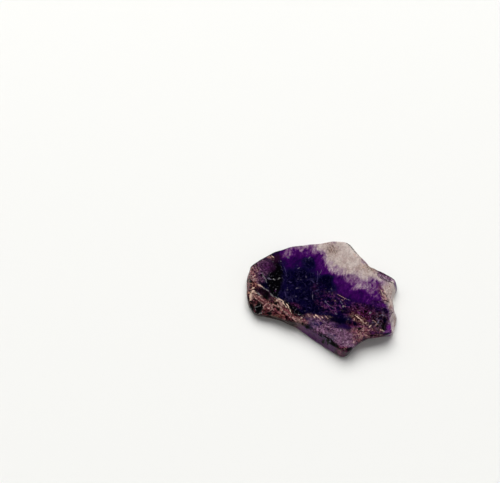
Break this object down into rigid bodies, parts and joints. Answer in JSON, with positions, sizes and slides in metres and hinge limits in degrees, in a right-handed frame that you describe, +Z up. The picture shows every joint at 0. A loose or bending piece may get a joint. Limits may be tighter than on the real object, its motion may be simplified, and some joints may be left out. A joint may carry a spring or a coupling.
{
  "type": "polished amethyst slab",
  "caption": "Thin irregular slab of banded amethyst and quartz, sawn flat and polished on both faces, with a tumbled, broken-sided edge.",
  "frame": {"origin": "bottom centre of the bounding box, on the surface that the slab lies on", "axes": "+X along the slab's length, from the pale brecciated end to the crystal end; +Z up through its thickness, out of the polished top face"},
  "size_m": [0.0612, 0.0498, 0.0065],
  "materials": {
    "amethyst": "polished, banded deep purple, lilac, smoky white and pink-brown"
  },
  "bodies": {
    "root": {"amethyst_slab": "amethyst"}
  },
  "joints": []
}
